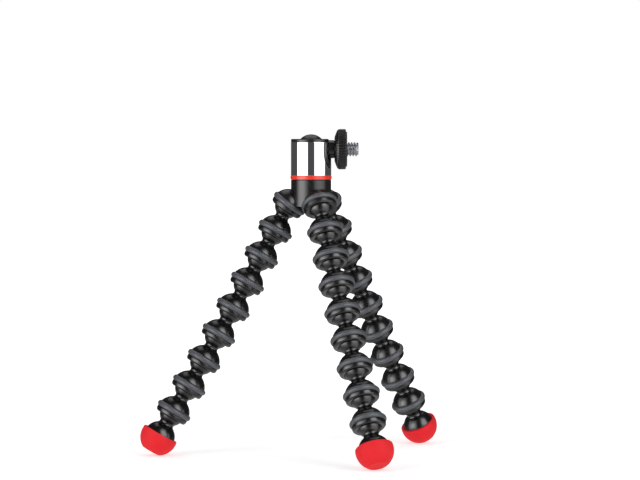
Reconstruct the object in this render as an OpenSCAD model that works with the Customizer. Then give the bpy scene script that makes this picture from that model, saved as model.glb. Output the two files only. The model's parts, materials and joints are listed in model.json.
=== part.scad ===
// Flexible leg tripod: a small ball head on a hub with three legs of snap-together ball links.
// Millimetres, +Z up, origin on the floor in the middle of the footprint.
// The mount screw points along +X, and the legs stand as they do in use.

/* [Leg links] */
// Diameter of each link's ball
ball_d = 11; // [9.5:0.1:12.5]
// Radial running clearance between a ball and its socket
ball_clear = 0.08; // [0.03:0.01:0.1]
// Wall of the socket's dome outside the ball
socket_wall = 1.8; // [1.4:0.1:2.5]
// Height of the dome's centre above the socket's centre
dome_rise = 0.4; // [0:0.05:0.6]
// Radius of the hollow waist between ball and dome
waist_round = 1.2; // [0.9:0.1:1.6]
// Overlap of the waist's hollow with the ball and the dome
waist_lap = 0.03; // [0.02:0.01:0.06]
// How far the ball sinks into its own link's dome
neck_sink = 0.25; // [0:0.05:0.5]
// Depth of the socket's lip below the ball's centre
lip_drop = 1.9; // [1.4:0.1:2.4]
// Bevel on the lip's outer edge
lip_bevel = 0.6; // [0.3:0.05:0.9]

/* [Grip rings] */
// Width of the soft ring along the link
grip_w = 2.6; // [1.6:0.1:3]
// How far the ring stands out of the dome
grip_proud = 0.65; // [0.3:0.05:1.2]
// Depth of the groove that the ring is moulded into
grip_depth = 0.75; // [0.4:0.05:0.9]
// Height of the ring's middle above the ball's centre
grip_rise = 1.5; // [1.3:0.1:2.2]
// Bond line between the ring and its groove
bond = 0.02; // [0.01:0.01:0.05]

/* [Feet] */
// Diameter of the foot's domed plug
foot_d = 13.9; // [12:0.1:15]
// Wall of the rubber boot
boot_wall = 1.25; // [0.8:0.05:2.2]
// How far the ball sinks into the plug
foot_sink = 0.65; // [0:0.05:0.8]
// Height of the boot's rim above the plug's centre
rim_rise = 1.7; // [1:0.05:3]
// Depth of the boot's flat sole below the plug's centre
sole_drop = 7.15; // [6:0.05:7.5]
// Thickness of the boot's sole
sole_t = 1.6; // [1:0.1:2.4]

/* [Stance] */
// Tilt of each leg's first link from the vertical
first_tilt = 27.5; // [22:0.5:34]
// Tilt added by each link after the first
tilt_step = 0.5; // [0:0.1:1]
// Tilt of the feet from the vertical
foot_tilt = 30; // [20:0.5:34]
// Direction of the left leg, seen from above
left_yaw = 187; // [165:0.5:195]
// Direction of the front leg, seen from above
front_yaw = 293.5; // [285:0.5:305]
// Direction of the right leg, seen from above
right_yaw = 41; // [35:0.5:65]

/* [Hub] */
// Direction of the hub's left socket, seen from above
socket_yaw = 172; // [170:0.5:185]
// Tilt of the hub's sockets from the vertical
socket_tilt = 36; // [30:0.5:42]
// Smallest gap between neighbouring grip rings on the hub
socket_gap = 2.9; // [2:0.1:6]
// Height of the plain band between the hub's top and its domes
hub_band = 4.4; // [3.5:0.1:8]
// Diameter of the spigot that centres the collar on the hub
hub_spigot_d = 10; // [8:0.1:12]
// Height of the spigot inside the collar's floor
hub_spigot_h = 1.4; // [0.8:0.1:1.6]
// Diameter of the pivot screw
pivot_d = 3; // [2.5:0.1:4]
// Diameter of the pivot screw's head
pivot_head_d = 5.2; // [4.8:0.1:6.5]
// Height of the pivot screw's head
pivot_head_h = 2.1; // [1.5:0.1:3]
// Depth of the screw head's seat below the hub's top
shoulder_drop = 5; // [3:0.1:8]
// Clearance round the screw's head in its recess
recess_clear = 0.25; // [0.2:0.05:0.5]

/* [Head] */
// Diameter of the head's ball
head_ball_d = 13.1; // [12:0.1:15]
// Gap between the head's ball and the collar's bore
bore_gap = 0.8; // [0.6:0.1:1.5]
// Wall of the collar
collar_wall = 1.5; // [1:0.1:2.5]
// Thickness of the collar's floor
floor_t = 2.8; // [2.2:0.1:4]
// Height of the collar's top above the ball's centre
collar_rise = 3.2; // [2.4:0.1:3.6]
// Height of the retaining ring above the collar
retainer_h = 1.3; // [0.8:0.1:1.6]
// Depth of the retaining ring's spigot inside the collar
spigot_h = 1.6; // [1:0.1:2]
// Height of the trim ring
trim_h = 1.6; // [1:0.1:3]
// How far the trim ring stands out of the collar
trim_proud = 0.2; // [0.1:0.05:0.5]
// Height of the coned spring washer
washer_h = 0.9; // [0.7:0.1:1.5]
// Thickness of the spring washer
washer_t = 0.45; // [0.3:0.05:0.6]
// Space between the washer and the screw inside it, and the bore outside it
washer_clear = 0.8; // [0.4:0.1:1.2]
// Thickness of the ball seat under the ball
seat_t = 1.4; // [1:0.1:2.5]
// Diameter of the stem
stem_d = 8; // [7.6:0.1:8.6]
// Clearance on each side of the stem in its slot
slot_clear = 0.25; // [0.2:0.05:0.5]

/* [Mount screw] */
// Diameter of the mount screw, a quarter inch
screw_d = 6.35; // [6.3:0.01:6.4]
// Length of the screw that stands clear of the pad
screw_reach = 5; // [4:0.1:6]
// Length of the screw inside the stem
screw_hold = 6; // [4:0.1:7]
// Bevel on the screw's tip
tip_bevel = 0.6; // [0.3:0.1:1]
// Depth of the thread's run-out groove behind the pad's face
runout_depth = 0.35; // [0.2:0.05:0.5]
// Width of the run-out groove
runout_w = 0.6; // [0.4:0.1:1]
// Gap between the collar and the locking ring
ring_gap = 1.45; // [1:0.05:3]
// Diameter of the locking ring
ring_d = 17.7; // [15:0.1:20]
// Thickness of the locking ring
ring_t = 5; // [4:0.1:7]
// Length of the cone on the locking ring's back
ring_cone = 1.6; // [1:0.1:2.5]
// Distance between the knurl's flutes round the locking ring
knurl_pitch = 1.26; // [1:0.02:2]
// Radius of each flute
knurl_r = 0.4; // [0.3:0.05:0.45]
// Depth of each flute
knurl_depth = 0.3; // [0.15:0.05:0.4]
// Thickness of the rubber pad
pad_t = 1; // [0.8:0.1:1.6]
// How far the pad stands out of the locking ring
pad_proud = 0.5; // [0.3:0.05:0.7]
// Width of the locking ring's lip outside the pad
pad_edge = 1.2; // [0.8:0.1:2.5]
// Width of the locking ring's lip between the pad and the screw
pad_hole_edge = 1; // [0.8:0.1:2]

/* [Fits] */
// Clearance of a turning fit
run_clear = 0.05; // [0.02:0.01:0.1]
// Bevel on turned edges
bevel = 0.3; // [0.2:0.05:0.5]

/* [Hidden] */
$fn = 64;
LEGS = ["left", "front", "right"];
LINKS = 8;

// Links: each ball's centre is the joint's centre, and the next joint lies one pitch further on
ball_r = ball_d / 2;
socket_r = ball_r + ball_clear;
dome_r = socket_r + socket_wall;
dome_reach = ball_r + dome_r - neck_sink;
pitch = dome_reach + dome_rise;
lip_z = lip_bevel - lip_drop;
lip_r = sqrt(pow(dome_r, 2) - pow(lip_z - dome_rise, 2)) - lip_bevel;
groove_r = dome_r - grip_depth;
grip_r = dome_r + grip_proud;
leg_yaws = [left_yaw, front_yaw, right_yaw];

// Feet: the boot is a sphere round the plug's centre, cut by its rim and its sole
foot_r = foot_d / 2;
boot_r = foot_r + boot_wall;
foot_pitch = ball_r + foot_r - foot_sink;
sole_r = sqrt(boot_r * boot_r - sole_drop * sole_drop);

// Head levels, measured up from the hub's top face
head_ball_r = head_ball_d / 2;
seat_r = head_ball_r + ball_clear;
bore_r = head_ball_r + bore_gap;
head_r = bore_r + collar_wall;
floor_z = trim_h + floor_t;
seat_z = floor_z + washer_h;
ball_z = seat_z + seat_t + seat_r;
collar_z = ball_z + collar_rise;
retainer_z = collar_z + retainer_h;
stem_r = stem_d / 2;
slot_r = stem_r + slot_clear;

// Pan pivot: the hub's spigot stands through the trim ring into the collar's floor
spigot_r = hub_spigot_d / 2;
spigot_rise = trim_h + hub_spigot_h;
pivot_r = pivot_d / 2;
pivot_head_r = pivot_head_d / 2;
recess_r = pivot_head_r + recess_clear;

// Mount screw and locking ring, measured along the screw from the head ball's centre
ring_r = ring_d / 2;
ring_x = head_r + ring_gap;
stem_x = ring_x - run_clear;
ring_face_x = ring_x + ring_t;
pad_face_x = ring_face_x + pad_proud;
screw_r = screw_d / 2;
screw_tip_x = pad_face_x + screw_reach;
pad_inner_r = screw_r + pad_hole_edge;
pad_outer_r = ring_r - pad_edge;
knurls = round(2 * PI * ring_r / knurl_pitch);

// Hub: the sockets' circle keeps the tilted grip rings apart by the socket gap
half_turn = 360 / len(LEGS) / 2;
ring_share = norm([cos(socket_tilt) * sin(half_turn), cos(half_turn)]);
grip_circle_r = (grip_r * ring_share + socket_gap / 2) / sin(half_turn);
socket_circle_r = grip_circle_r + grip_rise * sin(socket_tilt);
socket_z = -(hub_band + dome_r);

// A length beyond any profile, for cuts that run right through
far = 2 * (screw_tip_x + pitch);

// Unit vector along a link that leans by t degrees in the direction yaw
function aim(yaw, t) = [sin(t) * cos(yaw), sin(t) * sin(yaw), -cos(t)];

// Tilt of link k of a leg
function tilt(k) = first_tilt + (k - 1) * tilt_step;

// Direction of a leg's socket on the hub
function hub_yaw(i) = socket_yaw + i * 360 / len(LEGS);

// Centre of a leg's socket on the hub, measured from the hub's top face
function socket_at(i) = [
    socket_circle_r * cos(hub_yaw(i)),
    socket_circle_r * sin(hub_yaw(i)),
    socket_z
];

// Centre of joint k of a leg, counted from the hub
function joint_at(i, k) =
    k == 1 ? socket_at(i) : joint_at(i, k - 1) + pitch * aim(leg_yaws[i], tilt(k - 1));

// Centre of a foot's plug
function foot_at(i) = joint_at(i, LINKS + 1) + foot_pitch * aim(leg_yaws[i], foot_tilt);

// Reach of a leaning foot below its plug's centre: the sole's edge, or the boot's round side
sole_angle = atan(sole_r / sole_drop);
foot_reach = foot_tilt < sole_angle
    ? sole_drop * cos(foot_tilt) + sole_r * sin(foot_tilt)
    : boot_r;

// Place of the hub's top face: feet on the floor, the footprint's middle at the origin
stance = [
    -(foot_at(0)[0] + foot_at(2)[0]) / 2,
    -(foot_at(1)[1] + foot_at(2)[1]) / 2,
    foot_reach - foot_at(0)[2]
];

// Puts a link that hangs below its own ball's centre into its place in a leg
module in_leg(i, k, t) {
    translate(stance + joint_at(i, k))
    rotate([0, -t, leg_yaws[i]])
    children();
}

// Puts a socket that hangs below its own centre into its place on the hub
module at_socket(i) {
    translate(socket_at(i))
    rotate([0, -socket_tilt, hub_yaw(i)])
    children();
}

// Puts a piece that is turned about the screw's axis onto the head
module on_screw() {
    translate(stance + [0, 0, ball_z])
    rotate([0, 90, 0])
    children();
}

// Turns the part of a profile that lies right of the axis
module turned() {
    rotate_extrude()
    intersection() {
        children();
        translate([0, -far])
        square([far, 2 * far]);
    }
}

// The part of a profile that lies above a level
module above(level) {
    intersection() {
        children();
        translate([-far, level])
        square([2 * far, far]);
    }
}

// Profile of a solid socket about its centre: a dome that ends in a bevelled lip
module socket_profile() {
    intersection() {
        translate([0, dome_rise])
        circle(dome_r);
        polygon([
            [0, -lip_drop],
            [lip_r, -lip_drop],
            [lip_r + far, far - lip_drop],
            [0, far - lip_drop]
        ]);
    }
}

// Profile of the space that a grip ring needs, short of the sockets beside it on the hub
module groove_profile() {
    translate([groove_r, grip_rise - grip_w / 2])
    square([1.5 * grip_w, grip_w]);
}

// Profile of a grip ring: a band with a round face, bonded into its groove
module grip_profile() {
    crown = grip_proud + grip_depth;
    round_r = (crown * crown + grip_w * grip_w / 4) / (2 * crown);
    intersection() {
        translate([grip_r - round_r, grip_rise])
        circle(round_r);
        translate([groove_r + bond, grip_rise - grip_w / 2 + bond])
        square([far, grip_w - 2 * bond]);
    }
}

// Profile of a ball and hollow waist on a round form of radius r, its centre one reach below
module stalk_profile(r, reach) {
    near = ball_r + waist_round;
    drop = (near * near - pow(r + waist_round, 2) + reach * reach) / (2 * reach);
    out = sqrt(near * near - drop * drop);
    circle(ball_r);
    difference() {
        polygon([[0, 0], [0, -reach], [out, -drop]]);
        translate([out, -drop])
        circle(waist_round + waist_lap);
    }
}

module leg_link(i, k) {
    in_leg(i, k, tilt(k)) {
        color("#151517")
        turned()
        difference() {
            union() {
                stalk_profile(dome_r, dome_reach);
                translate([0, -pitch])
                socket_profile();
            }
            translate([0, -pitch]) {
                circle(socket_r);
                groove_profile();
            }
        }
        color("#5c5f63")
        turned()
        translate([0, -pitch])
        grip_profile();
    }
}

module foot(i) {
    color("#151517")
    in_leg(i, LINKS + 1, foot_tilt)
    turned() {
        stalk_profile(foot_r, foot_pitch);
        translate([0, -foot_pitch])
        above(sole_t - sole_drop)
        circle(foot_r);
    }
}

module boot(i) {
    color("#e5343a")
    in_leg(i, LINKS + 1, foot_tilt)
    turned()
    translate([0, -foot_pitch])
    difference() {
        above(-sole_drop)
        circle(boot_r);
        above(sole_t - sole_drop)
        circle(foot_r);
        translate([0, rim_rise])
        square(far);
    }
}

module hub() {
    color("#1d1d1f")
    translate(stance)
    difference() {
        union() {
            turned()
            polygon([
                [0, spigot_rise],
                [spigot_r, spigot_rise],
                [spigot_r, 0],
                [head_r - bevel, 0],
                [head_r, -bevel],
                [head_r, socket_z],
                [0, socket_z]
            ]);
            for (i = [0:len(LEGS) - 1])
                at_socket(i)
                turned()
                socket_profile();
        }
        for (i = [0:len(LEGS) - 1])
            at_socket(i) {
                sphere(socket_r);
                turned()
                groove_profile();
            }
        translate([0, 0, socket_z])
        cylinder(h = spigot_rise - socket_z, r = pivot_r + run_clear);
        translate([0, 0, socket_z])
        cylinder(h = -shoulder_drop - socket_z, r = recess_r);
    }
}

module hub_grips() {
    color("#5c5f63")
    translate(stance)
    for (i = [0:len(LEGS) - 1])
        at_socket(i)
        turned()
        grip_profile();
}

module trim_ring() {
    color("#d8202a")
    translate(stance)
    turned()
    translate([spigot_r + run_clear, 0])
    square([head_r + trim_proud - spigot_r - run_clear, trim_h]);
}

module pivot_screw() {
    color("#8c8f94")
    translate(stance)
    turned()
    polygon([
        [0, floor_z],
        [pivot_r, floor_z],
        [pivot_r, -shoulder_drop],
        [pivot_head_r, -shoulder_drop],
        [pivot_head_r, -shoulder_drop - pivot_head_h],
        [0, -shoulder_drop - pivot_head_h]
    ]);
}

// The slot that the stem swings through, open at the top
module stem_slot() {
    translate([0, 0, ball_z])
    rotate([90, 0, 90]) {
        cylinder(h = far, r = slot_r);
        translate([-slot_r, 0, 0])
        cube([2 * slot_r, far, far]);
    }
}

module collar() {
    color("#c9ccd1")
    translate(stance)
    difference() {
        turned()
        polygon([
            [pivot_r, floor_z],
            [bore_r, floor_z],
            [bore_r, collar_z],
            [head_r - bevel, collar_z],
            [head_r, collar_z - bevel],
            [head_r, trim_h + bevel],
            [head_r - bevel, trim_h],
            [spigot_r + run_clear, trim_h],
            [spigot_r + run_clear, spigot_rise + run_clear],
            [pivot_r, spigot_rise + run_clear]
        ]);
        stem_slot();
    }
}

module spring_washer() {
    inner_r = pivot_r + washer_clear;
    outer_r = bore_r - washer_clear;
    color("#9a9da1")
    translate(stance)
    turned()
    polygon([
        [inner_r, seat_z],
        [outer_r, floor_z + washer_t],
        [outer_r, floor_z],
        [inner_r, seat_z - washer_t]
    ]);
}

module ball_seat() {
    color("#d9d7d0")
    translate(stance)
    turned()
    difference() {
        translate([0, seat_z])
        square([bore_r - run_clear, ball_z - slot_r - slot_clear - seat_z]);
        translate([0, ball_z])
        circle(seat_r);
    }
}

module retaining_ring() {
    color("#1d1d1f")
    translate(stance)
    difference() {
        turned()
        difference() {
            polygon([
                [0, collar_z - spigot_h],
                [bore_r, collar_z - spigot_h],
                [bore_r, collar_z],
                [head_r, collar_z],
                [head_r, retainer_z - bevel],
                [head_r - bevel, retainer_z],
                [0, retainer_z]
            ]);
            translate([0, ball_z])
            circle(seat_r);
            square([stem_r + slot_clear, far]);
        }
        stem_slot();
    }
}

module head_ball() {
    color("#151517")
    on_screw()
    turned()
    difference() {
        union() {
            circle(head_ball_r);
            square([stem_r, stem_x]);
        }
        translate([0, stem_x - screw_hold])
        square([screw_r, far]);
    }
}

module mount_screw() {
    color("#b9bcc1")
    on_screw()
    turned()
    polygon([
        [0, stem_x - screw_hold],
        [screw_r, stem_x - screw_hold],
        [screw_r, pad_face_x - runout_w],
        [screw_r - runout_depth, pad_face_x - runout_w],
        [screw_r - runout_depth, pad_face_x],
        [screw_r, pad_face_x],
        [screw_r, screw_tip_x - tip_bevel],
        [screw_r - tip_bevel, screw_tip_x],
        [0, screw_tip_x]
    ]);
}

module locking_ring() {
    color("#1d1d1f")
    on_screw()
    intersection() {
        turned()
        polygon([
            [screw_r + run_clear, ring_x],
            [stem_r, ring_x],
            [ring_r - bevel, ring_x + ring_cone],
            [ring_r, ring_x + ring_cone + bevel],
            [ring_r, ring_face_x - bevel],
            [ring_r - bevel, ring_face_x],
            [pad_outer_r, ring_face_x],
            [pad_outer_r, pad_face_x - pad_t],
            [pad_inner_r, pad_face_x - pad_t],
            [pad_inner_r, ring_face_x],
            [screw_r + run_clear, ring_face_x]
        ]);
        linear_extrude(far)
        difference() {
            circle(ring_r);
            for (n = [1:knurls])
                rotate(n * 360 / knurls)
                translate([ring_r + knurl_r - knurl_depth, 0])
                circle(knurl_r);
        }
    }
}

module mount_pad() {
    color("#2a2a2c")
    on_screw()
    turned()
    translate([pad_inner_r, pad_face_x - pad_t])
    square([pad_outer_r - pad_inner_r, pad_t]);
}

hub();
hub_grips();
trim_ring();
pivot_screw();
collar();
spring_washer();
ball_seat();
retaining_ring();
head_ball();
mount_screw();
locking_ring();
mount_pad();

for (i = [0:len(LEGS) - 1]) {
    for (k = [1:LINKS])
        leg_link(i, k);
    foot(i);
    boot(i);
}
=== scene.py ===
import json
import math

import bmesh
import bpy
from mathutils import Matrix, Vector


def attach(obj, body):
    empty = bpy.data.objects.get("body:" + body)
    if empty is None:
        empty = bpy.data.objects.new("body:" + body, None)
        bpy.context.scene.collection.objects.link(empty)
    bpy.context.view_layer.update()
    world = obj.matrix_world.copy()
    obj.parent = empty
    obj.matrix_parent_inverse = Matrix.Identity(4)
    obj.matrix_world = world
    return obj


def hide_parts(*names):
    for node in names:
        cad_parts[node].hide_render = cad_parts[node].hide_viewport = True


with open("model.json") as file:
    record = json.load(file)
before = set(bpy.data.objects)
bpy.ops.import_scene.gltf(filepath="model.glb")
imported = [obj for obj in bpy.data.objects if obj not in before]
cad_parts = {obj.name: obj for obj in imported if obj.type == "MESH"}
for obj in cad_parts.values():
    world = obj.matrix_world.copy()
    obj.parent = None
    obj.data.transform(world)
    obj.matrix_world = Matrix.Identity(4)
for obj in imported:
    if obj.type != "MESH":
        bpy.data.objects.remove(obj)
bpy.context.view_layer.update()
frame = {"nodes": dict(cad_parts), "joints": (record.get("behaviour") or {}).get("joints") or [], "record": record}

# Hub
# One black ABS moulding: a round body with three sockets splayed under it, which the legs snap into.
# It comes satin from a lightly blasted mould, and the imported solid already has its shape.
MM = 0.001  # Sizes are written in millimetres, and angles in degrees.


def srgb(code):
    """Linear colour, with alpha, of an sRGB hex value."""
    parts = [int(code[i:i + 2], 16) / 255 for i in (1, 3, 5)]
    return [p / 12.92 if p <= 0.04045 else ((p + 0.055) / 1.055) ** 2.4 for p in parts] + [1.0]


def add(tree, kind, inputs, **settings):
    """Adds a node: an input is a value, or the output of another node."""
    node = tree.nodes.new(kind)
    for name, value in settings.items():
        setattr(node, name, value)
    for name, value in inputs.items():
        if isinstance(value, bpy.types.NodeSocket):
            tree.links.new(value, node.inputs[name])
        else:
            node.inputs[name].default_value = value
    return node


def start_material(name):
    """An empty node material, its tree and its Object coordinates."""
    material = bpy.data.materials.new(name)
    material.use_nodes = True
    tree = material.node_tree
    tree.nodes.clear()
    return material, tree, add(tree, "ShaderNodeTexCoord", {}).outputs["Object"]


# Satin ABS: the blasted mould leaves a fine grain that spreads each highlight into a soft bar.
# The grain is really about 0.1 mm, and is drawn at 0.35 mm so that it shows.
# A mix of two colours has its share in socket 0, the colours in 6 and 7, and its result in output 2.
satin_abs, tree, spot = start_material("satin_black_abs")
cloud = add(tree, "ShaderNodeTexNoise", {"Vector": spot, "Scale": 1 / (5 * MM), "Detail": 3.0})
tone = add(tree, "ShaderNodeMix", {
    0: cloud.outputs[0], 6: srgb("#0e0e10"), 7: srgb("#141416")}, data_type="RGBA")
rough = add(tree, "ShaderNodeMapRange", {"Value": cloud.outputs[0], "To Min": 0.22, "To Max": 0.3})
grain = add(tree, "ShaderNodeTexNoise", {"Vector": spot, "Scale": 1 / (0.35 * MM), "Detail": 2.0})
bump = add(tree, "ShaderNodeBump", {"Height": grain.outputs[0], "Strength": 0.12, "Distance": 0.05 * MM})
satin = add(tree, "ShaderNodeBsdfPrincipled", {
    "Base Color": tone.outputs[2], "Roughness": rough.outputs[0], "Normal": bump.outputs[0], "IOR": 1.54,
    "Specular IOR Level": 0.42})
add(tree, "ShaderNodeOutputMaterial", {"Surface": satin.outputs[0]})


def dress(node, material):
    """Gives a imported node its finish."""
    frame["nodes"][node].data.materials.clear()
    frame["nodes"][node].data.materials.append(material)


dress("hub", satin_abs)

# Leg links
# Each link is one glossy black ABS moulding: a ball, a waisted neck and a domed socket with a bevelled mouth.
# The ball snaps into the socket above it and stays where it is bent, held by friction.
LEGS = ("left", "front", "right")
LINKS = 8
BALL_R, WAIST_R = 5.5, 1.2
DOME_R, DOME_RISE, PITCH = 7.38, 0.4, 13.03
GROOVE_R, GROOVE_LOW, GROOVE_HIGH = 6.63, 0.2, 2.8
SOCKET_R, LIP_Z, LIP_BEVEL, LINK_EDGE = 5.58, -1.9, 0.6, 0.2
joints = {joint["child"]: joint for joint in frame["joints"]}

# An arc is drawn in steps of about 5 degrees, so a turn of more than 14 degrees is a corner.
ARC_STEP, LEAST_STEPS, LEAST_CORNER = 5, 3, 14
WELD = 0.002


def draw(bm, *marks, closed=False):
    """Draws a half section in the XZ plane, in millimetres.
    A mark is a point (r, z), or an arc (r, z, degrees) about that centre from the point before it."""
    first = last = None
    for mark in marks:
        if len(mark) == 2:
            point = bm.verts.new((mark[0] * MM, 0, mark[1] * MM))
            if last:
                bm.edges.new((last, point))
            last = point
        else:
            swing = bmesh.ops.spin(
                bm, geom=[last], cent=(mark[0] * MM, 0, mark[1] * MM), axis=(0, 1, 0),
                angle=math.radians(mark[2]), steps=max(LEAST_STEPS, round(abs(mark[2]) / ARC_STEP)))
            last = [v for v in swing["geom_last"] if isinstance(v, bmesh.types.BMVert)][0]
        first = first or last
    if closed:
        bm.edges.new((last, first))


def degrees_down(r, z):
    """Angle of a point from straight up."""
    return math.degrees(math.atan2(r, z))


def soften(bm, size, segments=3):
    """Rounds every corner of a drawn section, as a mould's edges are rounded."""
    corners = []
    for v in bm.verts:
        if len(v.link_edges) == 2:
            a, b = [e.other_vert(v).co - v.co for e in v.link_edges]
            if math.pi - a.angle(b) > math.radians(LEAST_CORNER):
                corners.append(v)
    bmesh.ops.bevel(bm, geom=corners, offset=size * MM, affect="VERTICES", segments=segments,
                    profile=0.5, material=-1, clamp_overlap=True)


def turn(bm, around=72):
    """Turns a drawn section about its Z axis into a closed skin."""
    bmesh.ops.spin(bm, geom=bm.verts[:] + bm.edges[:], cent=(0, 0, 0), axis=(0, 0, 1),
                   angle=2 * math.pi, steps=around, use_merge=True)
    bmesh.ops.remove_doubles(bm, verts=bm.verts, dist=WELD * MM)
    bmesh.ops.recalc_face_normals(bm, faces=bm.faces)


def hang(start, heading):
    """The place of a piece that hangs from start in the direction of a heading."""
    return Matrix.Translation(start) @ (-heading).to_track_quat("Z", "Y").to_matrix().to_4x4()


def make_piece(bm, name, material, body, place=Matrix()):
    """Makes the mesh a smooth piece that rides on a body, with its place in its mesh."""
    bm.transform(place)
    for face in bm.faces:
        face.smooth = True
    mesh = bpy.data.meshes.new(name)
    bm.to_mesh(mesh)
    bm.free()
    mesh.materials.append(material)
    piece = bpy.data.objects.new(name, mesh)
    bpy.context.scene.collection.objects.link(piece)
    piece.modifiers.new("even_shading", "WEIGHTED_NORMAL").keep_sharp = True
    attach(piece, body)
    return piece


# Glossy ABS: a polished mould gives a deep black with clear reflections, a little soft at their edges.
# Slow flow of the plastic leaves waves of about 4 mm in the gloss.
glossy_abs, tree, spot = start_material("glossy_black_abs")
cloud = add(tree, "ShaderNodeTexNoise", {"Vector": spot, "Scale": 1 / (4 * MM), "Detail": 3.0})
tone = add(tree, "ShaderNodeMix", {
    0: cloud.outputs[0], 6: srgb("#040405"), 7: srgb("#080809")}, data_type="RGBA")
rough = add(tree, "ShaderNodeMapRange", {"Value": cloud.outputs[0], "To Min": 0.2, "To Max": 0.29})
bump = add(tree, "ShaderNodeBump", {"Height": cloud.outputs[0], "Strength": 0.06, "Distance": 0.1 * MM})
gloss = add(tree, "ShaderNodeBsdfPrincipled", {
    "Base Color": tone.outputs[2], "Roughness": rough.outputs[0], "Normal": bump.outputs[0], "IOR": 1.54})
add(tree, "ShaderNodeOutputMaterial", {"Surface": gloss.outputs[0]})


def stalk(form_r, reach):
    """Marks of a ball at the origin and of its round waist, and the angle at which the next form starts.
    That form is round too, with its centre one reach below. The waist's arc touches both, so its own
    centre lies where circles round theirs cross."""
    near, far = BALL_R + WAIST_R, form_r + WAIST_R
    drop = (near ** 2 - far ** 2 + reach ** 2) / (2 * reach)
    out = math.sqrt(near ** 2 - drop ** 2)
    waist_swing = math.degrees(math.asin(drop / near) + math.asin((reach - drop) / far))
    marks = [(0, BALL_R), (0, 0, degrees_down(out, -drop)), (out, -drop, -waist_swing)]
    return marks, degrees_down(out, reach - drop)


def places(leg):
    """The places of a leg's links and of its foot, from the joints that hold them."""
    centres = [Vector(joints[f"{leg}_link_{k}"]["pos_m"]) for k in range(1, LINKS + 1)]
    centres.append(Vector(joints[f"{leg}_foot"]["pos_m"]))
    sole = [mount for mount in frame["record"]["mounts"] if mount["name"] == f"{leg}_sole"][0]
    headings = [b - a for a, b in zip(centres, centres[1:])] + [Vector(sole["axis"])]
    return [hang(centre, heading) for centre, heading in zip(centres, headings)]


def dome_at(level):
    """A point of the dome at a level above the socket's centre, and its angle from the dome's top."""
    r = math.sqrt(DOME_R ** 2 - (level - DOME_RISE) ** 2)
    return (r, level - PITCH), degrees_down(r, level - DOME_RISE)


link_stalk, dome_start = stalk(DOME_R, PITCH - DOME_RISE)
dome_z = DOME_RISE - PITCH
_, groove_start = dome_at(GROOVE_HIGH)
skirt_top, skirt_start = dome_at(GROOVE_LOW)
skirt_end, lip_start = dome_at(LIP_Z + LIP_BEVEL)
mouth_r = math.sqrt(SOCKET_R ** 2 - LIP_Z ** 2)
for leg in LEGS:
    for k, place in enumerate(places(leg)[:LINKS], start=1):
        bm = bmesh.new()
        draw(bm, *link_stalk, (0, dome_z, groove_start - dome_start),
             (GROOVE_R, GROOVE_HIGH - PITCH), (GROOVE_R, GROOVE_LOW - PITCH),
             skirt_top, (0, dome_z, lip_start - skirt_start), (skirt_end[0] - LIP_BEVEL, LIP_Z - PITCH),
             (mouth_r, LIP_Z - PITCH), (0, -PITCH, -degrees_down(mouth_r, LIP_Z)))
        soften(bm, LINK_EDGE)
        turn(bm)
        name = f"{leg}_link_{k}"
        shell = make_piece(bm, f"{name}_shell", glossy_abs, name, place)
        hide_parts(name)

# Grip rings
# A soft grey rubber ring is moulded into the groove round each socket, on the links and on the hub.
# It stands out of the dome, so that it bites on what the leg is wrapped round.
GRIP_ROUND, GRIP_OUT, GRIP_Z = 1.304, 8.03, 1.5
GRIP_INNER, GRIP_HALF, GRIP_EDGE = 6.65, 1.28, 0.06
HUB_TILT = 36

# Soft rubber: dull, with a broad sheen, a moulded grain of about 0.3 mm and a faint bloom on its surface.
soft_grey, tree, spot = start_material("soft_grey_rubber")
cloud = add(tree, "ShaderNodeTexNoise", {"Vector": spot, "Scale": 1 / (3 * MM), "Detail": 4.0})
tone = add(tree, "ShaderNodeMix", {
    0: cloud.outputs[0], 6: srgb("#3d4044"), 7: srgb("#4c4f54")}, data_type="RGBA")
rough = add(tree, "ShaderNodeMapRange", {"Value": cloud.outputs[0], "To Min": 0.4, "To Max": 0.5})
grain = add(tree, "ShaderNodeTexNoise", {"Vector": spot, "Scale": 1 / (0.3 * MM), "Detail": 2.0})
bump = add(tree, "ShaderNodeBump", {"Height": grain.outputs[0], "Strength": 0.3, "Distance": 0.06 * MM})
rubber = add(tree, "ShaderNodeBsdfPrincipled", {
    "Base Color": tone.outputs[2], "Roughness": rough.outputs[0], "Normal": bump.outputs[0], "IOR": 1.5})
add(tree, "ShaderNodeOutputMaterial", {"Surface": rubber.outputs[0]})


def make_grip(name, body, place):
    """Makes a grip ring round a socket whose centre is the origin of its place."""
    bm = bmesh.new()
    side = math.sqrt(GRIP_ROUND ** 2 - GRIP_HALF ** 2)
    middle_r = GRIP_OUT - GRIP_ROUND
    draw(bm, (GRIP_INNER, GRIP_Z - GRIP_HALF), (GRIP_INNER, GRIP_Z + GRIP_HALF),
         (middle_r + side, GRIP_Z + GRIP_HALF),
         (middle_r, GRIP_Z, 180 - 2 * degrees_down(side, GRIP_HALF)), closed=True)
    soften(bm, GRIP_EDGE, segments=2)
    turn(bm, around=96)
    return make_piece(bm, name, soft_grey, body, place)


to_socket = Matrix.Translation((0, 0, -PITCH * MM))
for leg in LEGS:
    for k, place in enumerate(places(leg)[:LINKS], start=1):
        make_grip(f"{leg}_link_{k}_grip", f"{leg}_link_{k}", place @ to_socket)

hub_top = Vector(joints["head"]["pos_m"])
for leg in LEGS:
    centre = Vector(joints[f"{leg}_link_1"]["pos_m"])
    outward = (centre - hub_top).to_2d().normalized() * math.sin(math.radians(HUB_TILT))
    heading = Vector((outward.x, outward.y, -math.cos(math.radians(HUB_TILT))))
    ring = make_grip(f"hub_grip_{leg}", "hub", hang(centre, heading))
    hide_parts("hub_grips")

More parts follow.
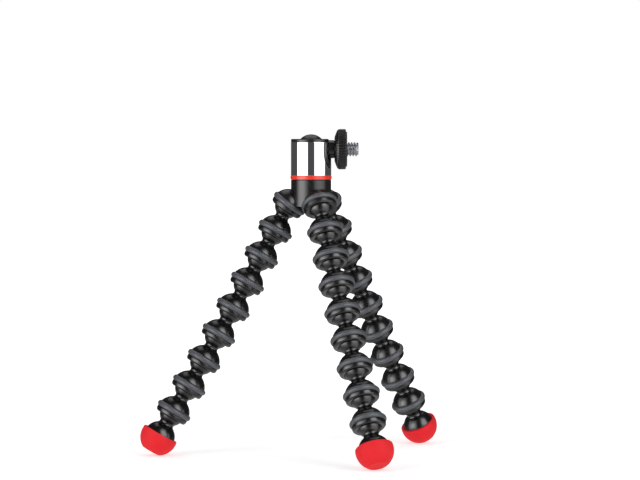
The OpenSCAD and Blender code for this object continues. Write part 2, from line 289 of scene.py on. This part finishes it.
# Feet
# Each leg ends in a foot of the same glossy ABS: a ball and waist on a round plug.
# The plug's flat end stands on the inside of the boot's sole.
PLUG_R, FOOT_PITCH, FOOT_EDGE = 6.95, 11.8, 0.3
SOLE_Z, SOLE_T = -7.15, 1.6
plug_z = SOLE_Z + SOLE_T
plug_end_r = math.sqrt(PLUG_R ** 2 - plug_z ** 2)
foot_stalk, plug_start = stalk(PLUG_R, FOOT_PITCH)
for leg in LEGS:
    bm = bmesh.new()
    draw(bm, *foot_stalk, (0, -FOOT_PITCH, degrees_down(plug_end_r, plug_z) - plug_start),
         (0, plug_z - FOOT_PITCH))
    soften(bm, FOOT_EDGE)
    turn(bm)
    foot = make_piece(bm, f"{leg}_foot_plug", glossy_abs, f"{leg}_foot", places(leg)[-1])
    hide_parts(f"{leg}_foot")

# Boots
# A red rubber boot is stretched over each foot's plug, with a round side, a rolled rim and a flat sole.
# It is moulded in one piece and stays on by its own grip.
BOOT_R, RIM_Z = 8.2, 1.7
BOOT_SLACK, BOOT_EDGE = 0.02, 0.28

# Red rubber: a matt skin with a soft bloom that lightens it in patches, over a fine moulded grain.
# The grain is really under 0.1 mm, and is drawn at 0.3 mm so that it shows.
red_rubber, tree, spot = start_material("red_boot_rubber")
cloud = add(tree, "ShaderNodeTexNoise", {"Vector": spot, "Scale": 1 / (6 * MM), "Detail": 4.0})
tone = add(tree, "ShaderNodeMix", {
    0: cloud.outputs[0], 6: srgb("#dc1b23"), 7: srgb("#e42830")}, data_type="RGBA")
rough = add(tree, "ShaderNodeMapRange", {"Value": cloud.outputs[0], "To Min": 0.5, "To Max": 0.62})
grain = add(tree, "ShaderNodeTexNoise", {"Vector": spot, "Scale": 1 / (0.3 * MM), "Detail": 2.0})
bump = add(tree, "ShaderNodeBump", {"Height": grain.outputs[0], "Strength": 0.15, "Distance": 0.05 * MM})
rubber = add(tree, "ShaderNodeBsdfPrincipled", {
    "Base Color": tone.outputs[2], "Roughness": rough.outputs[0], "Normal": bump.outputs[0], "IOR": 1.5,
    "Specular IOR Level": 0.15})
add(tree, "ShaderNodeOutputMaterial", {"Surface": rubber.outputs[0]})

inner_r = PLUG_R + BOOT_SLACK
rim_in, rim_out = math.sqrt(inner_r ** 2 - RIM_Z ** 2), math.sqrt(BOOT_R ** 2 - RIM_Z ** 2)
sole_out = math.sqrt(BOOT_R ** 2 - SOLE_Z ** 2)
sole_in = math.sqrt(inner_r ** 2 - plug_z ** 2)
for leg in LEGS:
    bm = bmesh.new()
    draw(bm, (0, plug_z), (sole_in, plug_z),
         (0, 0, degrees_down(rim_in, RIM_Z) - degrees_down(sole_in, plug_z)), (rim_out, RIM_Z),
         (0, 0, degrees_down(sole_out, SOLE_Z) - degrees_down(rim_out, RIM_Z)), (0, SOLE_Z))
    soften(bm, BOOT_EDGE, segments=4)
    turn(bm, around=96)
    boot = make_piece(bm, f"{leg}_boot_skin", red_rubber, f"{leg}_foot",
                      places(leg)[-1] @ Matrix.Translation((0, 0, -FOOT_PITCH * MM)))
    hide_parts(f"{leg}_boot")

# Trim ring
# A flat red plastic ring that lies on the hub's top under the collar and stands out a little past both.
# It is a sliding washer between the two, and the line of colour that is seen between them.
TRIM_R, SPIGOT_R, TRIM_H, TRIM_EDGE = 9.05, 5.05, 1.6, 0.15

# Red acetal: smooth and a little waxy, with a clear but soft highlight.
red_acetal, tree, spot = start_material("red_trim_acetal")
cloud = add(tree, "ShaderNodeTexNoise", {"Vector": spot, "Scale": 1 / (2 * MM), "Detail": 2.0})
tone = add(tree, "ShaderNodeMix", {
    0: cloud.outputs[0], 6: srgb("#e5301c"), 7: srgb("#ee3f2b")}, data_type="RGBA")
rough = add(tree, "ShaderNodeMapRange", {"Value": cloud.outputs[0], "To Min": 0.2, "To Max": 0.26})
acetal = add(tree, "ShaderNodeBsdfPrincipled", {
    "Base Color": tone.outputs[2], "Roughness": rough.outputs[0], "IOR": 1.48})
add(tree, "ShaderNodeOutputMaterial", {"Surface": acetal.outputs[0]})

on_hub = Matrix.Translation(hub_top)
bm = bmesh.new()
draw(bm, (SPIGOT_R, 0), (SPIGOT_R, TRIM_H), (TRIM_R, TRIM_H), (TRIM_R, 0), closed=True)
soften(bm, TRIM_EDGE)
turn(bm, around=128)
trim = make_piece(bm, "trim_band", red_acetal, "hub", on_hub)
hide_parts("trim_ring")

# Collar
# The polished metal cup that holds the head's ball, turned from bar, with a slot in its side for the stem.
# Its floor turns on the hub's spigot, and it is plated bright chrome.
HEAD_R, BORE_R, COLLAR_EDGE = 8.85, 7.35, 0.25
FLOOR_LOW, FLOOR_Z, COLLAR_Z = 3.05, 4.4, 16.53
PIVOT_R, BALL_Z, SLOT_R = 1.5, 13.33, 4.25
SLOT_TALL, SLOT_LONG = 8, 12
SLOT_EDGE, SHARP_TURN = 0.12, 50

# Chrome: a mirror with a slightly cool tint, and fine polishing lines round it that blur it a little.
# The lines are really microns apart, and are drawn at 0.25 mm so that they show.
chrome, tree, spot = start_material("polished_chrome")
lines = add(tree, "ShaderNodeMapping", {
    "Vector": spot, "Scale": (1 / (30 * MM), 1 / (30 * MM), 1 / (0.25 * MM))})
streak = add(tree, "ShaderNodeTexNoise", {"Vector": lines.outputs[0], "Scale": 1.0, "Detail": 2.0})
rough = add(tree, "ShaderNodeMapRange", {"Value": streak.outputs[0], "To Min": 0.02, "To Max": 0.045})
tone = add(tree, "ShaderNodeMix", {
    0: streak.outputs[0], 6: srgb("#e0e2e5"), 7: srgb("#e8e9eb")}, data_type="RGBA")
metal = add(tree, "ShaderNodeBsdfPrincipled", {
    "Base Color": tone.outputs[2], "Roughness": rough.outputs[0], "Metallic": 1.0})
add(tree, "ShaderNodeOutputMaterial", {"Surface": metal.outputs[0]})


def cut_slot(piece):
    """Cuts the stem's slot, open at the top, into a turned piece of the head and breaks its edges."""
    bm = bmesh.new()
    draw(bm, (-SLOT_R, SLOT_TALL), (-SLOT_R, 0), (0, 0, -180), (SLOT_R, SLOT_TALL), closed=True)
    outline = bmesh.ops.contextual_create(bm, geom=bm.edges[:])["faces"]
    pushed = bmesh.ops.extrude_face_region(bm, geom=outline)["geom"]
    bmesh.ops.translate(bm, verts=[v for v in pushed if isinstance(v, bmesh.types.BMVert)],
                        vec=(0, SLOT_LONG * MM, 0))
    bmesh.ops.recalc_face_normals(bm, faces=bm.faces)
    bm.transform(on_hub @ Matrix.Translation((0, 0, BALL_Z * MM)) @ Matrix.Rotation(-math.pi / 2, 4, "Z"))
    mesh = bpy.data.meshes.new("slot_cut")
    bm.to_mesh(mesh)
    bm.free()
    cutter = bpy.data.objects.new("slot_cut", mesh)
    bpy.context.scene.collection.objects.link(cutter)
    cut = piece.modifiers.new("slot", "BOOLEAN")
    cut.operation, cut.solver, cut.object = "DIFFERENCE", "EXACT", cutter
    piece.modifiers.move(len(piece.modifiers) - 1, 0)
    piece.modifiers["even_shading"].show_viewport = False
    depsgraph = bpy.context.evaluated_depsgraph_get()
    piece.data = bpy.data.meshes.new_from_object(piece.evaluated_get(depsgraph))
    piece.modifiers.remove(cut)
    piece.modifiers["even_shading"].show_viewport = True
    bpy.data.objects.remove(cutter)
    edge = piece.modifiers.new("broken_edges", "BEVEL")
    edge.width, edge.segments = SLOT_EDGE * MM, 2
    edge.limit_method, edge.angle_limit = "ANGLE", math.radians(SHARP_TURN)
    piece.modifiers.move(len(piece.modifiers) - 1, 0)


bm = bmesh.new()
draw(bm, (PIVOT_R, FLOOR_Z), (BORE_R, FLOOR_Z), (BORE_R, COLLAR_Z), (HEAD_R, COLLAR_Z), (HEAD_R, TRIM_H),
     (SPIGOT_R, TRIM_H), (SPIGOT_R, FLOOR_LOW), (PIVOT_R, FLOOR_LOW), closed=True)
soften(bm, COLLAR_EDGE)
turn(bm, around=128)
collar = make_piece(bm, "collar_cup", chrome, "head", on_hub)
cut_slot(collar)
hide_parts("collar")

# Pivot screw
# A steel cap screw that comes up through the hub into the collar's floor and lets the head pan.
# Its head lies in the recess under the hub, with a hexagon socket for the key.
PIVOT_HEAD_R, SHOULDER_Z, HEAD_END_Z = 2.6, -5, -7.1
KEY_R, KEY_DEPTH, KEY_RIM = 1.44, 1.3, 0.6
PIVOT_EDGE, CREASE = 0.15, 40

# Zinc-plated steel: a grey metal with a cloudy plating that breaks its highlight up.
zinc_steel, tree, spot = start_material("zinc_plated_steel")
cloud = add(tree, "ShaderNodeTexNoise", {"Vector": spot, "Scale": 1 / (0.8 * MM), "Detail": 4.0})
tone = add(tree, "ShaderNodeMix", {
    0: cloud.outputs[0], 6: srgb("#a3a6aa"), 7: srgb("#c3c5c8")}, data_type="RGBA")
rough = add(tree, "ShaderNodeMapRange", {"Value": cloud.outputs[0], "To Min": 0.24, "To Max": 0.38})
metal = add(tree, "ShaderNodeBsdfPrincipled", {
    "Base Color": tone.outputs[2], "Roughness": rough.outputs[0], "Metallic": 1.0})
add(tree, "ShaderNodeOutputMaterial", {"Surface": metal.outputs[0]})

bm = bmesh.new()
draw(bm, (0, FLOOR_Z), (PIVOT_R, FLOOR_Z), (PIVOT_R, SHOULDER_Z), (PIVOT_HEAD_R, SHOULDER_Z),
     (PIVOT_HEAD_R, HEAD_END_Z), (PIVOT_HEAD_R - KEY_RIM, HEAD_END_Z))
soften(bm, PIVOT_EDGE, segments=2)
turn(bm, around=48)
rim = [e for e in bm.edges if e.is_boundary]
key = bmesh.ops.create_circle(bm, segments=6, radius=KEY_R * MM,
                              matrix=Matrix.Translation((0, 0, HEAD_END_Z * MM)))["verts"]
key_edges = [e for e in bm.edges if e.verts[0] in key and e.verts[1] in key]
bmesh.ops.bridge_loops(bm, edges=rim + key_edges)
deep = bmesh.ops.extrude_edge_only(bm, edges=key_edges)["geom"]
key_end = [v for v in deep if isinstance(v, bmesh.types.BMVert)]
bmesh.ops.translate(bm, verts=key_end, vec=(0, 0, KEY_DEPTH * MM))
end_edges = [e for e in deep if isinstance(e, bmesh.types.BMEdge) and e.is_boundary]
bmesh.ops.contextual_create(bm, geom=end_edges)
bmesh.ops.recalc_face_normals(bm, faces=bm.faces)
pivot = make_piece(bm, "pivot_cap_screw", zinc_steel, "head", on_hub)
pivot.data.set_sharp_from_angle(angle=math.radians(CREASE))
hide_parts("pivot_screw")

# Spring washer and ball seat
# A coned steel washer on the collar's floor pushes a cup of natural acetal up against the ball.
# Both are hidden in the collar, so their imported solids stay.
dress("spring_washer", zinc_steel)

# Natural acetal: a milky white plastic with a waxy surface.
white_acetal, tree, spot = start_material("natural_acetal")
cloud = add(tree, "ShaderNodeTexNoise", {"Vector": spot, "Scale": 1 / (3 * MM), "Detail": 3.0})
tone = add(tree, "ShaderNodeMix", {
    0: cloud.outputs[0], 6: srgb("#d2d0c8"), 7: srgb("#dedcd6")}, data_type="RGBA")
rough = add(tree, "ShaderNodeMapRange", {"Value": cloud.outputs[0], "To Min": 0.36, "To Max": 0.46})
acetal = add(tree, "ShaderNodeBsdfPrincipled", {
    "Base Color": tone.outputs[2], "Roughness": rough.outputs[0], "IOR": 1.48})
add(tree, "ShaderNodeOutputMaterial", {"Surface": acetal.outputs[0]})
dress("ball_seat", white_acetal)

# Head ball
# The black ball and its stem are one piece, dropped into the collar from above with the stem in the slot.
# The ball is glossy where the seat and the retaining ring rub it.
HEAD_BALL_R, STEM_R, STEM_X, STEM_EDGE = 6.55, 4, 10.25, 0.3
SCREW_R, SCREW_HOLD = 3.175, 6
ball_centre = Vector(joints["head_ball"]["pos_m"])
on_ball = Matrix.Translation(ball_centre) @ Matrix.Rotation(math.pi / 2, 4, "Y")
stem_z = math.sqrt(HEAD_BALL_R ** 2 - STEM_R ** 2)
bm = bmesh.new()
draw(bm, (0, -HEAD_BALL_R), (0, 0, degrees_down(STEM_R, stem_z) - 180), (STEM_R, STEM_X),
     (SCREW_R, STEM_X), (SCREW_R, STEM_X - SCREW_HOLD), (0, STEM_X - SCREW_HOLD))
soften(bm, STEM_EDGE)
turn(bm, around=96)
ball = make_piece(bm, "head_ball_stem", glossy_abs, "head_ball", on_ball)
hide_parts("head_ball")

# Retaining ring
# A black ring pressed into the collar's mouth over the ball, with the collar's slot cut on through it.
# It is moulded in the hub's satin ABS.
RETAINER_Z, RETAINER_LOW = 17.83, 14.93
SEAT_R, RETAINER_BEVEL, RETAINER_EDGE = 6.63, 0.3, 0.12
bm = bmesh.new()
top_r = math.sqrt(SEAT_R ** 2 - (RETAINER_Z - BALL_Z) ** 2)
low_r = math.sqrt(SEAT_R ** 2 - (RETAINER_LOW - BALL_Z) ** 2)
draw(bm, (BORE_R, RETAINER_LOW), (BORE_R, COLLAR_Z), (HEAD_R, COLLAR_Z),
     (HEAD_R, RETAINER_Z - RETAINER_BEVEL), (HEAD_R - RETAINER_BEVEL, RETAINER_Z), (top_r, RETAINER_Z),
     (0, BALL_Z, degrees_down(low_r, RETAINER_LOW - BALL_Z) - degrees_down(top_r, RETAINER_Z - BALL_Z)),
     closed=True)
soften(bm, RETAINER_EDGE, segments=2)
turn(bm, around=128)
retainer = make_piece(bm, "retaining_cap", satin_abs, "head", on_hub)
cut_slot(retainer)
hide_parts("retaining_ring")

# Mount screw
# A quarter inch steel stud with a twenty-to-the-inch thread, fixed in the stem's end.
# Its rolled thread is wound here with some turns to spare, and cut to length with a bevelled tip.

# The crest and the root of the thread are shares of its pitch.
THREAD_PITCH, THREAD_DEPTH = 1.27, 0.7
CREST, ROOT = 0.16, 0.2
THREAD_FROM, SCREW_TIP, TIP_BEVEL = 9.5, 20.8, 0.6
THREAD_STEPS, SPARE_TURNS = 48, 3
THREAD_WELD, THREAD_CREASE = 0.01, 35
bm = bmesh.new()
root_r = SCREW_R - THREAD_DEPTH
flank = (1 - CREST - ROOT) / 2
draw(bm, (root_r, 0), (root_r, ROOT * THREAD_PITCH), (SCREW_R, (ROOT + flank) * THREAD_PITCH),
     (SCREW_R, (ROOT + flank + CREST) * THREAD_PITCH), (root_r, THREAD_PITCH))
turns = math.ceil((SCREW_TIP - THREAD_FROM) / THREAD_PITCH) + SPARE_TURNS
bmesh.ops.spin(bm, geom=bm.verts[:] + bm.edges[:], cent=(0, 0, 0), axis=(0, 0, 1),
               angle=2 * math.pi * turns, steps=THREAD_STEPS * turns,
               dvec=(0, 0, THREAD_PITCH * MM / THREAD_STEPS))
bmesh.ops.remove_doubles(bm, verts=bm.verts, dist=THREAD_WELD * MM)
thread_start = THREAD_FROM - SPARE_TURNS / 2 * THREAD_PITCH
bmesh.ops.translate(bm, verts=bm.verts, vec=(0, 0, thread_start * MM))
for level, side in ((THREAD_FROM, -1), (SCREW_TIP, 1)):
    cut = bmesh.ops.bisect_plane(
        bm, geom=bm.verts[:] + bm.edges[:] + bm.faces[:], plane_co=(0, 0, level * MM),
        plane_no=(0, 0, side), clear_outer=True)["geom_cut"]
    bmesh.ops.contextual_create(bm, geom=[e for e in cut if isinstance(e, bmesh.types.BMEdge)])
for v in bm.verts:
    radius = v.co.to_2d().length
    allowed = SCREW_R * MM - max(0, v.co.z - (SCREW_TIP - TIP_BEVEL) * MM)
    if radius > allowed:
        v.co.xy *= allowed / radius
bmesh.ops.recalc_face_normals(bm, faces=bm.faces)
screw = make_piece(bm, "mount_stud", zinc_steel, "head_ball", on_ball)
screw.data.set_sharp_from_angle(angle=math.radians(THREAD_CREASE))
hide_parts("mount_screw")

# Locking ring
# A black knurled nut on the stud: it is wound out against what is mounted, to jam it.
# It is moulded in satin ABS, with a coned back, rounded corners and straight flutes for the fingers.
RING_R, RING_X, RING_FACE, PAD_SEAT = 8.85, 10.3, 15.3, 14.8
RING_BORE, PAD_IN, PAD_OUT = 3.225, 4.175, 7.65
FLUTES, FLUTE_DEPTH = 44, 0.3

# A flute's depth at its six points is a share of the full one.
# Each loop of the ring has its radius, its place along the stem, and how much of the flutes it shows.
FLUTE_STEPS = (0, 0, 0.35, 0.9, 0.9, 0.35)
ring_loops = [
    (RING_BORE, RING_X, 0), (5.2, RING_X, 0), (5.6, RING_X + 0.1, 0), (7.6, RING_X + 0.85, 0),
    (8.3, RING_X + 1.2, 0), (8.6, RING_X + 1.5, 0.2), (8.78, RING_X + 1.85, 0.8), (RING_R, RING_X + 2.2, 1),
    (RING_R, RING_FACE - 0.5, 1), (RING_R - 0.1, RING_FACE - 0.15, 0.5), (RING_R - 0.4, RING_FACE, 0),
    (PAD_OUT, RING_FACE, 0), (PAD_OUT, PAD_SEAT, 0), (PAD_IN, PAD_SEAT, 0), (PAD_IN, RING_FACE, 0),
    (RING_BORE, RING_FACE, 0)]
bm = bmesh.new()
loops = []
for r, x, share in ring_loops:
    loop = bmesh.ops.create_circle(bm, segments=FLUTES * len(FLUTE_STEPS), radius=r * MM,
                                   matrix=Matrix.Translation((0, 0, x * MM)))["verts"]
    for n, v in enumerate(loop):
        v.co.xy *= 1 - share * FLUTE_DEPTH * FLUTE_STEPS[n % len(FLUTE_STEPS)] / r
    loops.append([e for e in bm.edges if e.verts[0] in loop and e.verts[1] in loop])
for a, b in zip(loops, loops[1:] + loops[:1]):
    bmesh.ops.bridge_loops(bm, edges=a + b)
bmesh.ops.recalc_face_normals(bm, faces=bm.faces)
nut = make_piece(bm, "locking_nut", satin_abs, "locking_ring", on_ball)
nut.data.set_sharp_from_angle(angle=math.radians(CREASE))
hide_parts("locking_ring")

# Mount pad
# A flat rubber washer let into the locking ring's face, so that what is mounted doesn't slip or scratch.
# It is cut from matt black sheet.
PAD_FACE, PAD_EDGE = 15.8, 0.15

# Matt rubber sheet: nearly black and very dull, with a calendered grain of about 0.4 mm.
matt_rubber, tree, spot = start_material("matt_black_rubber")
grain = add(tree, "ShaderNodeTexNoise", {"Vector": spot, "Scale": 1 / (0.4 * MM), "Detail": 3.0})
tone = add(tree, "ShaderNodeMix", {
    0: grain.outputs[0], 6: srgb("#222224"), 7: srgb("#2f2f32")}, data_type="RGBA")
rough = add(tree, "ShaderNodeMapRange", {"Value": grain.outputs[0], "To Min": 0.66, "To Max": 0.82})
bump = add(tree, "ShaderNodeBump", {"Height": grain.outputs[0], "Strength": 0.3, "Distance": 0.06 * MM})
rubber = add(tree, "ShaderNodeBsdfPrincipled", {
    "Base Color": tone.outputs[2], "Roughness": rough.outputs[0], "Normal": bump.outputs[0], "IOR": 1.5})
add(tree, "ShaderNodeOutputMaterial", {"Surface": rubber.outputs[0]})

bm = bmesh.new()
draw(bm, (PAD_IN, PAD_SEAT), (PAD_IN, PAD_FACE), (PAD_OUT, PAD_FACE), (PAD_OUT, PAD_SEAT), closed=True)
soften(bm, PAD_EDGE)
turn(bm, around=96)
pad = make_piece(bm, "mount_pad_ring", matt_rubber, "locking_ring", on_ball)
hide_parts("mount_pad")

# Stage
# A white floor without a visible edge, three soft boxes, and a dark room that is only seen in reflections.
# The floor lights the part from below, and glows more further out, so that it fades into the white behind.
# The stage's sizes are in metres, and a level of light of 1 is white.
FLOOR_HALF = 12
NEAR_FLOOR, FAR_FLOOR = 0.1, 0.6
NEAR_GLOW, FAR_GLOW, UNDERLIGHT = 0.52, 1.0, 0.5
PAPER_MM = 40


def stand(name, data, place):
    """Puts a light, a stage piece or the viewpoint in its place."""
    thing = bpy.data.objects.new(name, data)
    thing.matrix_world = place
    bpy.context.scene.collection.objects.link(thing)
    return thing


def facing(start, target):
    """The place of a thing that looks from start to target."""
    return Matrix.Translation(start) @ (target - start).to_track_quat("-Z", "Y").to_matrix().to_4x4()


def seen_directly(tree):
    """1 for rays that see a thing or its reflection, and 0 for rays that it only lights."""
    ray = add(tree, "ShaderNodeLightPath", {}).outputs
    seen = ray["Is Camera Ray"]
    for kind in ("Is Glossy Ray", "Is Transmission Ray"):
        seen = add(tree, "ShaderNodeMath", {0: seen, 1: ray[kind]}, operation="MAXIMUM").outputs[0]
    return seen


bm = bmesh.new()
bmesh.ops.create_grid(bm, x_segments=1, y_segments=1, size=FLOOR_HALF)
mesh = bpy.data.meshes.new("floor")
bm.to_mesh(mesh)
bm.free()
white_floor, tree, spot = start_material("white_floor")
paper = add(tree, "ShaderNodeTexNoise", {"Vector": spot, "Scale": 1 / (PAPER_MM * MM), "Detail": 2.0})
tone = add(tree, "ShaderNodeMix", {
    0: paper.outputs[0], 6: srgb("#d8d8d8"), 7: srgb("#dcdcdc")}, data_type="RGBA")
shade = add(tree, "ShaderNodeBsdfDiffuse", {"Color": tone.outputs[2]})
away = add(tree, "ShaderNodeVectorMath", {0: spot}, operation="LENGTH")
lift = add(tree, "ShaderNodeMapRange", {
    "Value": away.outputs["Value"], "From Min": NEAR_FLOOR, "From Max": FAR_FLOOR,
    "To Min": NEAR_GLOW, "To Max": FAR_GLOW})
# A mix of two plain values has them in sockets 2 and 3.
level = add(tree, "ShaderNodeMix", {0: seen_directly(tree), 2: UNDERLIGHT, 3: lift.outputs[0]})
glow = add(tree, "ShaderNodeEmission", {"Strength": level.outputs[0]})
both = add(tree, "ShaderNodeAddShader", {0: shade.outputs[0], 1: glow.outputs[0]})
add(tree, "ShaderNodeOutputMaterial", {"Surface": both.outputs[0]})
mesh.materials.append(white_floor)
floor = stand("floor", mesh, Matrix())
floor.visible_glossy = False

# The room's wall is dark, and pales downwards, where it takes the floor's place in reflections.
# It has a crisp white panel on each side with a softer, brighter middle, and a bright one high on the right.
# A panel has its azimuths and its heights, each with the width of its soft edge, and its level.
ROOM_R, ROOM_DARK, ROOM_FLOOR = 4, 0.08, 0.9
PALE_FROM, PALE_TO = -0.06, -0.8
PANELS = (
    ((-86, -19, 2), (-0.5, 0.62, 0.2), 1.6),
    ((-76, -34, 20), (-0.25, 0.3, 0.2), 4.8),
    ((19, 86, 2), (-0.5, 0.3, 0.2), 1.6),
    ((30, 70, 20), (-0.1, 0.3, 0.2), 1.5),
    ((20, 62, 12), (0.25, 0.8, 0.2), 5.4))


def window(tree, value, low, high, soft):
    """1 inside a range of a value, falling to 0 over soft edges."""
    off = add(tree, "ShaderNodeMath", {0: value, 1: (low + high) / 2}, operation="SUBTRACT").outputs[0]
    off = add(tree, "ShaderNodeMath", {0: off}, operation="ABSOLUTE").outputs[0]
    return add(tree, "ShaderNodeMapRange", {
        "Value": off, "From Min": (high - low + soft) / 2, "From Max": (high - low - soft) / 2}).outputs[0]


bm = bmesh.new()
bmesh.ops.create_uvsphere(bm, u_segments=48, v_segments=24, radius=ROOM_R)
mesh = bpy.data.meshes.new("dark_room")
bm.to_mesh(mesh)
bm.free()
dark_wall, tree, spot = start_material("dark_wall")
way = add(tree, "ShaderNodeVectorMath", {0: spot}, operation="NORMALIZE").outputs[0]
way = add(tree, "ShaderNodeSeparateXYZ", {0: way}).outputs
front = add(tree, "ShaderNodeMath", {0: way["Y"], 1: -1.0}, operation="MULTIPLY").outputs[0]
azimuth = add(tree, "ShaderNodeMath", {0: way["X"], 1: front}, operation="ARCTAN2").outputs[0]
azimuth = add(tree, "ShaderNodeMath", {0: azimuth}, operation="DEGREES").outputs[0]
level = add(tree, "ShaderNodeMapRange", {
    "Value": way["Z"], "From Min": PALE_FROM, "From Max": PALE_TO,
    "To Min": ROOM_DARK, "To Max": ROOM_FLOOR}).outputs[0]
for across, upright, radiance in PANELS:
    sides, heights = window(tree, azimuth, *across), window(tree, way["Z"], *upright)
    panel = add(tree, "ShaderNodeMath", {0: sides, 1: heights}, operation="MULTIPLY").outputs[0]
    level = add(tree, "ShaderNodeMath", {
        0: panel, 1: radiance, 2: level}, operation="MULTIPLY_ADD").outputs[0]
wall = add(tree, "ShaderNodeEmission", {"Strength": level})
add(tree, "ShaderNodeOutputMaterial", {"Surface": wall.outputs[0]})
mesh.materials.append(dark_wall)
room = stand("dark_room", mesh, Matrix())
room.visible_camera = room.visible_diffuse = room.visible_shadow = room.visible_transmission = False

# The world's white is seen in full, and lights the part with less.
SKY_LIGHT, SKY_SEEN = 0.4, 1.0
world = bpy.data.worlds.new("studio")
bpy.context.scene.world = world
world.use_nodes = True
tree = world.node_tree
tree.nodes.clear()
level = add(tree, "ShaderNodeMapRange", {
    "Value": seen_directly(tree), "To Min": SKY_LIGHT, "To Max": SKY_SEEN})
sky = add(tree, "ShaderNodeBackground", {"Color": srgb("#ffffff"), "Strength": level.outputs[0]})
add(tree, "ShaderNodeOutputWorld", {"Surface": sky.outputs[0]})

# A soft box has its azimuth, rise, distance, width, height and level, and faces the middle of the part.
# The two in front only light the part, as the room's panels stand for them in reflections.
MIDDLE_Z = 0.07
middle = Vector((0, 0, MIDDLE_Z))
for name, azimuth, rise, away, width, tall, radiance in (
        ("left_box", -48, 26, 0.7, 0.32, 0.46, 3.6),
        ("right_box", 42, 26, 0.7, 0.32, 0.46, 3.6),
        ("top_box", 180, 66, 0.9, 0.7, 0.7, 1.1)):
    light = bpy.data.lights.new(name, "AREA")
    light.shape, light.size, light.size_y = "RECTANGLE", width, tall
    light.energy = math.pi * width * tall * radiance
    turned, up = math.radians(azimuth), math.radians(rise)
    outward = math.cos(up)
    towards = Vector((math.sin(turned) * outward, -math.cos(turned) * outward, math.sin(up)))
    box = stand(name, light, facing(middle + away * towards, middle))
    box.visible_glossy = name == "top_box"

# The viewpoint is level with the head's ball, and looks at what the picture has in its middle.
# Its sizes are in millimetres, and a pixel is 0.44 mm at the ball.
PIXEL, FAR, LENS, SENSOR = 0.44, 1229, 157.1, 36
PICTURE_MIDDLE_PX, BALL_PX = (320, 240), (311.1, 149.2)
lens = bpy.data.cameras.new("viewpoint")
lens.lens, lens.sensor_width = LENS, SENSOR
right, down = [(middle_px - ball_px) * PIXEL * MM for middle_px, ball_px in zip(PICTURE_MIDDLE_PX, BALL_PX)]
start = ball_centre + Vector((0, -FAR * MM, 0))
target = ball_centre + Vector((right, 0, -down))
bpy.context.scene.camera = stand("viewpoint", lens, facing(start, target))
bpy.context.scene.view_settings.view_transform = "Standard"
